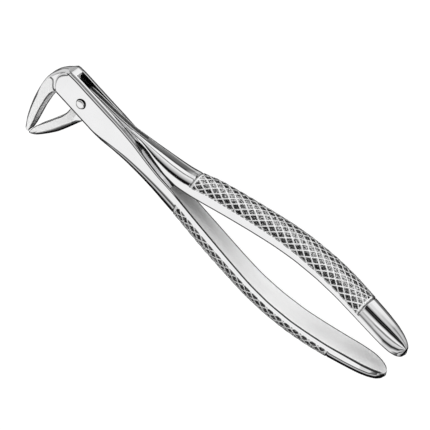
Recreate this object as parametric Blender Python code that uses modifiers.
"""Extraction forceps for lower roots: two forged halves in a box joint on one rivet.

Frame: +Z is the rivet's axis, +X runs from the rivet toward the handles, +Y is
the side of the inner half's handle.  The origin is on the rivet's axis, at its
lower end.  Lengths below are millimetres; the model is built in metres.

Each half is a loft through stations.  A station's left and right are those of
the way from the beak's tip through the joint to the handle.
"""

import math
from typing import NamedTuple

import bmesh
import bpy

MM = 0.001
MERGE_DISTANCE = 0.00001        # metres
SHARP_ANGLE = math.radians(35.0)

# Joint ---------------------------------------------------------------------
MID_Z = 5.3                     # plane of motion above the rivet's lower end
BOX_HALF_Z = 4.4
HEAD_HALF_Z = 3.0               # head, between beak and box
SLOT_HALF_Z = 2.35
TONGUE_HALF_Z = 2.05            # the tongue runs in the slot
BOX_TURN = math.radians(-9.5)   # lean of the box from the X axis
BOX_LEFT = 6.55                 # rivet axis to the box's +Y side
BOX_RIGHT = -5.8                # rivet axis to the box's -Y side
BOX_LEFT_CORNER = (1.0, 1.0)
BOX_RIGHT_CORNER = (0.9, 0.9)
BOX_STATIONS = (                # distance along the box, offset of its left side
    (-11.9, 6.30), (-9.0, BOX_LEFT), (0.0, BOX_LEFT), (10.0, BOX_LEFT))
SLOT_OUTLINE = (                # x, y
    (-8.2, 9.0), (-6.0, -7.5), (8.6, -9.0), (8.6, -7.0), (27.8, 1.25), (30.0, 9.0))

# Rounded end of the box's cheeks, a parabola on each side of its tip
RIM_TIP_X = -13.4
RIM_TIP_Y = 2.0
RIM_BEND_LEFT = 0.13            # x per y squared, on the +Y side of the tip
RIM_BEND_RIGHT = 0.062
RIM_FADE = 2.0                  # length over which the cheeks run out
RIM_ZONE_X = -10.0              # full-thickness stations are thinned only below this x

# Rivet ---------------------------------------------------------------------
RIVET_R = 2.1
RIVET_EDGE = 0.65               # rounding of the rivet's ends
RIVET_TOP = 2 * MID_Z
RIVET_EDGE_STEPS = 4
HOLE_R = 2.3
HOLE_HALF_Z = 8.0
ROUND_SIDES = 40                # sides of the rivet and of its hole

# Loft ----------------------------------------------------------------------
FLAT_STEPS = 1                  # half of each side face
CORNER_STEPS = 3                # each rounded corner
FACE_STEPS = 5                  # each broad face
MIN_SPACING = 0.05              # least distance between stations when interpolating
EDGE_MAX_SHARE = 0.6            # limit of a handle's flat-side corner, of half thickness

# Beak, head and tongue tables.  Columns: left point, right point, half thickness,
# left corner, right corner, steps to the next row, then if not zero: hollow of
# the left and right side, lean of the left and right side.
# A corner is (in-plane, thickness) extent; a lean shifts a side's upper edge left.

OUTER_BEAK = (
    # beak: outer back on the left, hollow gripping face on the right
    ((-14.90, -30.05), (-13.85, -30.15), 0.55, (0.15, 0.3), (0.08, 0.2), 1),
    ((-15.65, -29.15), (-13.72, -29.25), 0.95, (0.5, 0.6), (0.15, 0.2), 1, (0, 0.05), (0, 0.10)),
    ((-16.25, -27.30), (-13.32, -27.70), 1.30, (0.8, 0.9), (0.2, 0.25), 2, (0, 0.15), (0, 0.32)),
    ((-17.25, -24.35), (-13.28, -24.95), 1.65, (1.1, 1.2), (0.25, 0.3), 2, (0, 0.3), (0, 0.40)),
    ((-18.20, -19.50), (-13.55, -20.15), 2.05, (1.3, 1.4), (0.3, 0.3), 2, (0, 0.4), (0, 0.40)),
    ((-18.80, -14.50), (-13.75, -15.30), 2.35, (1.4, 1.5), (0.3, 0.3), 2, (0, 0.45), (0, 0.35)),
    ((-19.00, -9.50), (-13.62, -10.75), 2.60, (1.4, 1.6), (0.3, 0.3), 2, (0, 0.4), (0, 0.35)),
    ((-18.90, -5.60), (-13.22, -7.75), 2.80, (1.4, 1.7), (0.35, 0.35), 2, (0, 0.2), (0, 0.35)),
    # head: turns about the inner corner
    ((-18.50, -2.28), (-12.84, -6.36), 2.95, (1.5, 1.8), (0.4, 0.4), 2, (0, 0), (0, 0.25)),
    ((-17.50, 0.92), (-12.65, -5.46), HEAD_HALF_Z, (1.5, 1.9), (0.4, 0.4), 2, (0, 0), (0, 0.20)),
    ((-16.05, 3.73), (-12.60, -4.92), HEAD_HALF_Z, (1.5, 2.0), (0.4, 0.4), 2, (0, 0), (0, 0.12)),
    ((-14.28, 5.90), (-12.60, -4.44), HEAD_HALF_Z, (1.4, 2.0), (0.4, 0.5), 2, (0, 0), (0, 0.05)),
    ((-12.60, 7.35), (-12.60, -4.05), HEAD_HALF_Z, (1.3, 1.6), (0.5, 0.6), 2),
)

INNER_BEAK = (
    # beak: hollow gripping face on the left, outer back on the right
    ((-13.42, -30.10), (-12.95, -30.50), 0.50, (0.08, 0.2), (0.12, 0.3), 1),
    ((-13.18, -29.05), (-11.88, -30.11), 0.95, (0.15, 0.2), (0.7, 0.75), 1, (0.05, 0), (0.10, 0)),
    ((-12.55, -27.30), (-10.08, -28.91), 1.30, (0.2, 0.25), (1.3, 1.1), 2, (0.15, 0), (0.20, 0)),
    ((-11.88, -25.22), (-8.26, -27.05), 1.60, (0.25, 0.3), (1.9, 1.4), 2, (0.3, 0), (0.20, 0)),
    ((-10.45, -22.47), (-5.49, -23.79), 1.85, (0.3, 0.3), (2.5, 1.65), 2, (0.35, 0), (0.15, 0)),
    ((-8.70, -19.62), (-3.18, -20.77), 2.05, (0.3, 0.3), (2.9, 1.85), 2, (0.4, 0), (0.15, 0)),
    ((-6.60, -15.92), (-0.78, -16.63), 2.15, (0.3, 0.3), (3.0, 1.95), 2, (0.35, 0), (0.15, 0)),
    ((-4.95, -12.90), (1.18, -12.90), 2.15, (0.3, 0.3), (2.8, 1.9), 2, (0.2, 0), (0.05, 0)),
    ((-3.90, -10.00), (2.65, -10.00), TONGUE_HALF_Z, (0.3, 0.3), (2.0, 1.6), 2, (0.1, 0)),
)

INNER_TONGUE = (
    # fans about the crotch inside the slot
    ((-3.45, -7.40), (3.60, -7.95), TONGUE_HALF_Z, (0.3, 0.3), (0.7, 0.7), 2),
    ((-3.50, -5.20), (4.25, -6.45), TONGUE_HALF_Z, (0.3, 0.3), (0.4, 0.4), 1),
    ((-3.90, -2.80), (5.35, -5.35), TONGUE_HALF_Z, (0.3, 0.3), (0.3, 0.3), 1),
    ((-4.30, 0.20), (6.60, -4.70), TONGUE_HALF_Z, (0.3, 0.3), (0.3, 0.3), 1),
    ((-4.10, 2.80), (8.20, -4.30), TONGUE_HALF_Z, (0.3, 0.3), (0.3, 0.3), 1),
    ((-3.10, 4.90), (9.80, -4.00), TONGUE_HALF_Z, (0.5, 0.5), (0.3, 0.3), 1),
    ((-1.00, 6.15), (11.50, -3.65), TONGUE_HALF_Z, (0.8, 0.8), (0.3, 0.3), 2),
    ((2.50, 6.00), (13.20, -3.20), TONGUE_HALF_Z, (0.8, 0.8), (0.3, 0.3), 2),
    ((7.00, 5.60), (15.20, -2.65), TONGUE_HALF_Z, (0.8, 0.8), (0.3, 0.3), 2),
    ((12.00, 5.15), (17.60, -1.85), TONGUE_HALF_Z, (0.8, 0.8), (0.3, 0.3), 2),
    ((17.50, 4.80), (20.60, -0.70), TONGUE_HALF_Z, (0.9, 0.9), (0.3, 0.3), 2),
    # thickens toward the shank
    ((23.00, 4.65), (24.40, 0.90), 2.10, (1.2, 1.2), (0.4, 0.4), 2),
    ((28.20, 4.90), (28.60, 2.15), 2.40, (1.5, 1.5), (0.5, 0.5), 2),
)

# Shank and handle tables, cut square to X: outer side rounded, inner side flat.
# Columns: x, y of the flat side, y of the rounded side's crown, half thickness,
# in-plane extent of the rounding, its share of the half thickness, corner of the
# flat side, hollow of the flat side, steps to the next row.

OUTER_HANDLE = (
    (15.0, 4.13, -8.56, BOX_HALF_Z, 2.0, 0.48, 0.95, 0.00, 2),
    (20.0, 3.18, -8.85, BOX_HALF_Z, 2.8, 0.64, 0.90, 0.00, 2),
    (27.0, 1.52, -9.44, BOX_HALF_Z, 3.7, 0.78, 0.80, 0.00, 2),
    (35.0, -0.90, -10.48, 4.42, 4.4, 0.84, 0.70, 0.00, 2),
    (43.0, -3.00, -11.87, 4.50, 5.2, 0.87, 0.55, 0.00, 2),
    (50.5, -4.30, -13.50, 4.60, 6.0, 0.88, 0.45, 0.00, 2),
    (56.0, -5.60, -14.60, 4.68, 6.2, 0.88, 0.35, 0.05, 2),
    (63.0, -7.20, -16.19, 4.82, 6.2, 0.88, 0.30, 0.15, 2),
    (74.0, -9.50, -18.58, 5.10, 6.2, 0.88, 0.30, 0.25, 2),
    (87.5, -12.30, -20.99, 5.35, 6.1, 0.88, 0.30, 0.30, 2),
    (99.0, -14.25, -22.58, 5.70, 6.0, 0.88, 0.30, 0.30, 2),
    (110.0, -15.00, -23.07, 6.15, 5.9, 0.88, 0.30, 0.30, 2),
    (120.0, -14.70, -22.65, 6.45, 5.7, 0.88, 0.30, 0.30, 2),
    (130.0, -13.50, -21.40, 6.70, 5.5, 0.88, 0.30, 0.30, 2),
    (139.5, -11.93, -19.50, 6.85, 5.2, 0.88, 0.35, 0.25, 2),
    (148.0, -10.15, -17.54, 6.70, 5.0, 0.88, 0.45, 0.20, 2),
    (154.5, -9.05, -15.97, 6.20, 4.9, 0.88, 0.55, 0.10, 2),
    (158.7, -8.60, -14.72, 5.00, 4.3, 0.88, 0.60, 0.05, 2),
    (161.5, -8.50, -13.49, 3.40, 3.4, 0.86, 0.60, 0.00, 2),
    (163.2, -8.85, -11.89, 1.60, 1.9, 0.80, 0.50, 0.00, 1),
    (163.7, -9.40, -10.69, 0.60, 0.8, 0.70, 0.30, 0.00, 0),
)

INNER_HANDLE = (
    (33.0, 1.75, 5.25, 3.00, 2.5, 0.72, 0.60, 0.00, 2),
    (38.0, 0.45, 5.70, 3.65, 3.8, 0.80, 0.60, 0.00, 2),
    (45.0, -1.20, 6.30, 4.30, 4.7, 0.84, 0.55, 0.00, 2),
    (50.5, -1.60, 6.95, 4.55, 5.0, 0.85, 0.45, 0.00, 2),
    (57.0, -0.75, 8.35, 4.68, 5.2, 0.85, 0.35, 0.05, 2),
    (63.0, 0.50, 10.40, 4.82, 5.3, 0.85, 0.30, 0.15, 2),
    (74.0, 3.05, 12.85, 5.10, 5.4, 0.85, 0.30, 0.25, 2),
    (87.5, 5.80, 15.20, 5.35, 5.3, 0.85, 0.30, 0.30, 2),
    (99.0, 7.85, 16.90, 5.70, 5.3, 0.85, 0.30, 0.30, 2),
    (110.0, 9.10, 17.60, 6.15, 5.2, 0.85, 0.30, 0.30, 2),
    (120.0, 9.35, 17.45, 6.45, 5.2, 0.85, 0.30, 0.30, 2),
    (130.0, 8.80, 16.45, 6.70, 5.1, 0.85, 0.30, 0.30, 2),
    (142.0, 7.20, 14.27, 6.85, 5.0, 0.86, 0.35, 0.25, 2),
    (150.0, 5.75, 12.92, 6.65, 5.4, 0.88, 0.45, 0.20, 2),
    (156.5, 4.30, 11.63, 6.00, 5.7, 0.90, 0.55, 0.10, 2),
    (161.0, 3.20, 10.26, 4.80, 5.3, 0.90, 0.60, 0.05, 2),
    (164.0, 2.75, 8.83, 3.20, 4.3, 0.88, 0.60, 0.00, 2),
    (165.6, 3.05, 7.45, 1.60, 2.7, 0.82, 0.50, 0.00, 1),
    (166.1, 3.90, 5.81, 0.60, 1.2, 0.70, 0.30, 0.00, 0),
)


# Stations -------------------------------------------------------------------

class Station(NamedTuple):
    left_x: float
    left_y: float
    right_x: float
    right_y: float
    half_z: float
    left_run: float             # corners: run in the plane, rise in thickness
    left_rise: float
    right_run: float
    right_rise: float
    left_hollow: float
    right_hollow: float
    left_lean: float
    right_lean: float


def row(left, right, half_z, left_corner, right_corner, steps,
        hollow=(0.0, 0.0), lean=(0.0, 0.0)):
    """One table row as its station and the steps to the next row."""
    return Station(*left, *right, half_z, *left_corner, *right_corner, *hollow, *lean), steps


def box_row(distance, left):
    """Row square to the box's centre line, at a distance along it from the rivet."""
    cos, sin = math.cos(BOX_TURN), math.sin(BOX_TURN)
    left_point, right_point = (
        (distance * cos - offset * sin, distance * sin + offset * cos)
        for offset in (left, BOX_RIGHT))
    return row(left_point, right_point, BOX_HALF_Z, BOX_LEFT_CORNER, BOX_RIGHT_CORNER, 2)


def handle_row(entry, flat_left):
    """Row of a handle table, with its flat side on the left or the right."""
    x, flat_y, crown_y, half_z, round_run, round_share, edge, hollow, steps = entry
    flat, crown = (x, flat_y), (x, crown_y)
    flat_corner = (edge, min(edge, EDGE_MAX_SHARE * half_z))
    crown_corner = (round_run, round_share * half_z)
    if flat_left:
        return row(flat, crown, half_z, flat_corner, crown_corner, steps, (hollow, 0.0))
    return row(crown, flat, half_z, crown_corner, flat_corner, steps, (0.0, hollow))


def monotone_slopes(places, values):
    """Slopes of the monotone cubic through the points (place, value)."""
    gaps = [b - a for a, b in zip(places, places[1:])]
    chords = [(b - a) / gap for a, b, gap in zip(values, values[1:], gaps)]
    slopes = [chords[0]] + [0.0] * (len(places) - 2) + [chords[-1]]
    for i in range(1, len(places) - 1):
        if chords[i - 1] * chords[i] > 0:
            before, after = gaps[i - 1], gaps[i]
            slopes[i] = (2 * (before + after)) / (
                (2 * after + before) / chords[i - 1] + (after + 2 * before) / chords[i])
    return slopes


def all_stations(rows):
    """The rows' stations and the interpolated ones between them."""
    stations = [station for station, _ in rows]
    places = [0.0]
    for a, b in zip(stations, stations[1:]):
        spacing = (math.dist(a[:2], b[:2]) + math.dist(a[2:4], b[2:4])) / 2
        places.append(places[-1] + max(spacing, MIN_SPACING))
    columns = list(zip(*stations))
    slopes = [monotone_slopes(places, column) for column in columns]
    result = []
    for i, (station, steps) in enumerate(rows[:-1]):
        result.append(station)
        gap = places[i + 1] - places[i]
        for k in range(1, steps):
            # Hermite weights of the two ends' values and slopes
            f = k / steps
            value_a = 2 * f ** 3 - 3 * f ** 2 + 1
            slope_a = f ** 3 - 2 * f ** 2 + f
            value_b = -2 * f ** 3 + 3 * f ** 2
            slope_b = f ** 3 - f ** 2
            result.append(Station(*(
                value_a * value[i] + slope_a * gap * slope[i]
                + value_b * value[i + 1] + slope_b * gap * slope[i + 1]
                for value, slope in zip(columns, slopes))))
    result.append(stations[-1])
    return result


# Solids ---------------------------------------------------------------------

def half_profile(station, width):
    """Upper half of a profile, right to left: distance from the right side, z."""
    s = station
    right_flat = s.half_z - s.right_rise
    left_flat = s.half_z - s.left_rise
    points = []
    for k in range(FLAT_STEPS):
        z = right_flat * k / FLAT_STEPS
        points.append((s.right_hollow * (1 - (z / right_flat) ** 2), z))
    for k in range(CORNER_STEPS):
        angle = math.pi / 2 * k / CORNER_STEPS
        points.append((s.right_run * (1 - math.cos(angle)),
                       right_flat + s.right_rise * math.sin(angle)))
    for k in range(FACE_STEPS):
        across = (width - s.left_run - s.right_run) * k / FACE_STEPS
        points.append((s.right_run + across, s.half_z))
    for k in range(CORNER_STEPS):
        angle = math.pi / 2 * k / CORNER_STEPS
        points.append((width - s.left_run + s.left_run * math.sin(angle),
                       left_flat + s.left_rise * math.cos(angle)))
    for k in range(FLAT_STEPS):
        z = left_flat * (1 - k / FLAT_STEPS)
        points.append((width - s.left_hollow * (1 - (z / left_flat) ** 2), z))
    points.append((width - s.left_hollow, 0.0))
    return points


def section(station, height_factor):
    """Closed profile of a station in metres, from the middle of its right side."""
    s = station
    width = math.hypot(s.left_x - s.right_x, s.left_y - s.right_y)
    across_x = (s.left_x - s.right_x) / width
    across_y = (s.left_y - s.right_y) / width
    upper = half_profile(s, width)
    points = []
    for u, z in upper + [(u, -z) for u, z in reversed(upper[1:-1])]:
        u += (s.right_lean + (s.left_lean - s.right_lean) * u / width) * z / s.half_z
        x, y = s.right_x + across_x * u, s.right_y + across_y * u
        z = MID_Z + z * height_factor(x, y, s.half_z)
        points.append((x * MM, y * MM, z * MM))
    return points


def mesh_from(bm, name):
    mesh = bpy.data.meshes.new(name)
    bm.to_mesh(mesh)
    bm.free()
    return mesh


def loft(name, rows, height_factor):
    """Closed body through all stations of a list of rows."""
    bm = bmesh.new()
    rings = [[bm.verts.new(point) for point in section(station, height_factor)]
             for station in all_stations(rows)]
    count = len(rings[0])
    for a, b in zip(rings, rings[1:]):
        for i in range(count):
            j = (i + 1) % count
            bm.faces.new((a[i], a[j], b[j], b[i]))
    bm.faces.new(list(reversed(rings[0])))
    bm.faces.new(rings[-1])
    bmesh.ops.recalc_face_normals(bm, faces=bm.faces)
    bmesh.ops.triangulate(bm, faces=bm.faces)
    return bpy.data.objects.new(name, mesh_from(bm, name))


def new_cutter(name, mesh):
    """Hidden helper body centred on the plane of motion."""
    body = bpy.data.objects.new(name, mesh)
    body.location = (0.0, 0.0, MID_Z * MM)
    cutters.objects.link(body)
    body.hide_render = True
    body.display_type = "WIRE"
    return body


def prism_cutter(name, outline, half_z):
    """Flat outline in the plane of motion, extruded both ways."""
    curve = bpy.data.curves.new(name, "CURVE")
    curve.dimensions = "2D"
    curve.fill_mode = "BOTH"
    curve.extrude = half_z * MM
    spline = curve.splines.new("POLY")
    spline.points.add(len(outline) - 1)
    for point, (x, y) in zip(spline.points, outline):
        point.co = (x * MM, y * MM, 0.0, 1.0)
    spline.use_cyclic_u = True
    guide = bpy.data.objects.new(name + "_outline", curve)
    cutters.objects.link(guide)
    bpy.context.view_layer.update()
    mesh = bpy.data.meshes.new_from_object(
        guide.evaluated_get(bpy.context.evaluated_depsgraph_get()))
    bpy.data.objects.remove(guide)
    # The filled faces and the walls come unjoined
    bm = bmesh.new()
    bm.from_mesh(mesh)
    bmesh.ops.remove_doubles(bm, verts=bm.verts, dist=MERGE_DISTANCE)
    bmesh.ops.recalc_face_normals(bm, faces=bm.faces)
    bm.to_mesh(mesh)
    bm.free()
    return new_cutter(name, mesh)


def cylinder_cutter(name, radius, half_z):
    bm = bmesh.new()
    bmesh.ops.create_cone(bm, cap_ends=True, segments=ROUND_SIDES, radius1=radius * MM,
                          radius2=radius * MM, depth=2 * half_z * MM)
    return new_cutter(name, mesh_from(bm, name))


def cut(body, cutter):
    boolean = body.modifiers.new(cutter.name, "BOOLEAN")
    boolean.operation = "DIFFERENCE"
    boolean.solver = "EXACT"
    boolean.object = cutter


def steel(name, grey, roughness):
    material = bpy.data.materials.new(name)
    material.use_nodes = True
    shader = material.node_tree.nodes["Principled BSDF"]
    # very slightly blue
    shader.inputs["Base Color"].default_value = (grey, grey, grey * 1.01, 1.0)
    shader.inputs["Metallic"].default_value = 1.0
    shader.inputs["Roughness"].default_value = roughness
    material.diffuse_color = (grey, grey, grey, 1.0)
    return material


def finish(body, material):
    parts.objects.link(body)
    body.data.materials.append(material)
    body.data.shade_smooth()
    body.data.set_sharp_from_angle(angle=SHARP_ANGLE)


# Pieces ---------------------------------------------------------------------

def cheek_share(x, y):
    """Share of the box's extra thickness kept at a point near the cheeks' end."""
    bend = RIM_BEND_LEFT if y > RIM_TIP_Y else RIM_BEND_RIGHT
    past = RIM_TIP_X + bend * (y - RIM_TIP_Y) ** 2 - x
    if past <= 0.0:
        return 1.0
    return max(0.0, 1.0 - past / RIM_FADE) ** 2


def outer_height(x, y, half_z):
    """Lifts the head to the box's cheeks, with their rounded end."""
    if half_z < BOX_HALF_Z and x < 0.0:
        return 1.0 + (BOX_HALF_Z / half_z - 1.0) * cheek_share(x, y)
    if x < RIM_ZONE_X:
        return (HEAD_HALF_Z + (BOX_HALF_Z - HEAD_HALF_Z) * cheek_share(x, y)) / half_z
    return 1.0


def build_outer_half(rivet_hole):
    """Beak, head, slotted box and the -Y handle."""
    rows = [row(*entry) for entry in OUTER_BEAK]
    rows += [box_row(*entry) for entry in BOX_STATIONS]
    rows += [handle_row(entry, flat_left=True) for entry in OUTER_HANDLE]
    body = loft("outer_half", rows, outer_height)
    cut(body, prism_cutter("slot", SLOT_OUTLINE, SLOT_HALF_Z))
    cut(body, rivet_hole)
    finish(body, steel("polished_steel_outer", grey=0.74, roughness=0.12))


def build_inner_half(rivet_hole):
    """Beak, tongue and the +Y handle."""
    rows = [row(*entry) for entry in INNER_BEAK + INNER_TONGUE]
    rows += [handle_row(entry, flat_left=False) for entry in INNER_HANDLE]
    body = loft("inner_half", rows, lambda x, y, half_z: 1.0)
    cut(body, rivet_hole)
    finish(body, steel("polished_steel_inner", grey=0.74, roughness=0.12))


def build_rivet():
    """One pin through both cheeks and the tongue, a profile turned about Z."""
    edge = []
    for k in range(RIVET_EDGE_STEPS + 1):
        angle = math.pi / 2 * k / RIVET_EDGE_STEPS
        edge.append((RIVET_R - RIVET_EDGE + RIVET_EDGE * math.sin(angle),
                     RIVET_TOP - RIVET_EDGE + RIVET_EDGE * math.cos(angle)))
    lower_edge = [(radius, RIVET_TOP - z) for radius, z in reversed(edge)]
    profile = [(0.0, RIVET_TOP)] + edge + lower_edge + [(0.0, 0.0)]
    bm = bmesh.new()
    verts = [bm.verts.new((radius * MM, 0.0, z * MM)) for radius, z in profile]
    for a, b in zip(verts, verts[1:]):
        bm.edges.new((a, b))
    body = bpy.data.objects.new("pivot_rivet", mesh_from(bm, "pivot_rivet"))
    turn = body.modifiers.new("turn", "SCREW")
    turn.axis = "Z"
    turn.steps = turn.render_steps = ROUND_SIDES
    turn.use_merge_vertices = True
    turn.merge_threshold = MERGE_DISTANCE
    finish(body, steel("polished_steel_rivet", grey=0.78, roughness=0.10))


for old in list(bpy.data.objects):
    bpy.data.objects.remove(old)

parts = bpy.data.collections.new("extraction_forceps")
cutters = bpy.data.collections.new("cutters")
for collection in (parts, cutters):
    bpy.context.scene.collection.children.link(collection)

hole = cylinder_cutter("rivet_hole", HOLE_R, HOLE_HALF_Z)
build_outer_half(hole)
build_inner_half(hole)
build_rivet()
